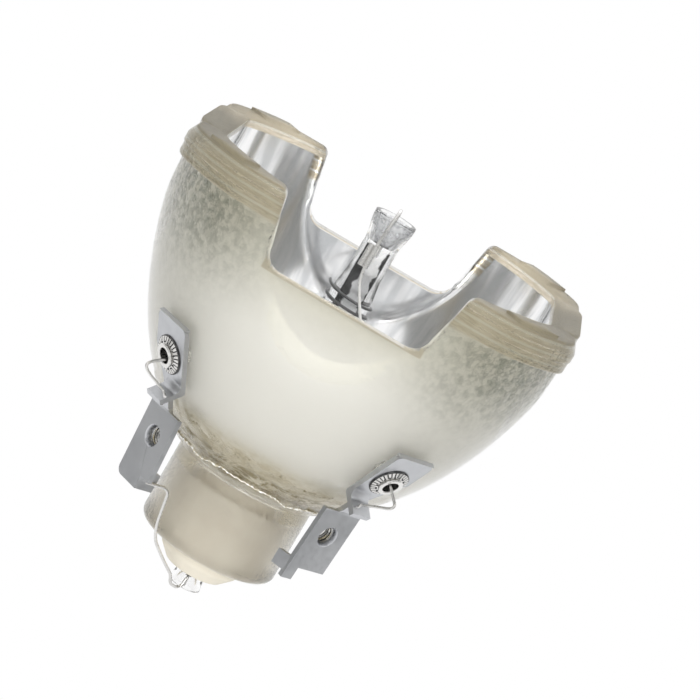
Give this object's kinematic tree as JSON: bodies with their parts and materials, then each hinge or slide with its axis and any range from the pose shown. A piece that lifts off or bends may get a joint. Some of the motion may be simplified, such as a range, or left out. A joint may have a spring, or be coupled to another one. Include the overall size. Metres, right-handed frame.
{
  "type": "metal halide reflector lamp",
  "caption": "Discharge burner cemented into a pressed glass reflector with a notched, stepped square rim, and side terminals with tapped holes.",
  "frame": {"origin": "on the optical axis, in the plane of the four rim pads that seat in the lamp holder", "axes": "+Z along the optical axis, the way the light leaves; the cooling notches face -Y and +Y, and the terminals stand at 45 degrees either side of -Y"},
  "size_m": [0.0852, 0.0808, 0.0906],
  "materials": {
    "reflector_glass": "pressed borosilicate glass, milky outside, with a mirror coating inside",
    "cement": "cast ceramic cement, matt",
    "quartz": "clear fused quartz",
    "tungsten": "drawn tungsten",
    "foil": "molybdenum foil",
    "lead_wire": "bright nickel wire",
    "sleeve": "pressed nickel",
    "terminal_steel": "nickel plated steel, satin",
    "eyelet_metal": "bright nickel plate",
    "washer_steel": "bright nickel plate"
  },
  "bodies": {
    "root": {"reflector": "reflector_glass", "cement_plug": "cement", "burner_envelope": "quartz", "front_electrode": "tungsten", "rear_electrode": "tungsten", "front_electrode_coil": "tungsten", "rear_electrode_coil": "tungsten", "front_foil": "foil", "rear_foil": "foil", "front_lead": "lead_wire", "rear_lead": "lead_wire", "crimp_sleeve": "sleeve", "feed_wire": "lead_wire", "ignition_wire": "lead_wire", "rear_feed_wire": "lead_wire", "left_terminal": "terminal_steel", "right_terminal": "terminal_steel", "left_eyelet": "eyelet_metal", "right_eyelet": "eyelet_metal", "left_lock_washer": "washer_steel", "right_lock_washer": "washer_steel"}
  },
  "joints": []
}
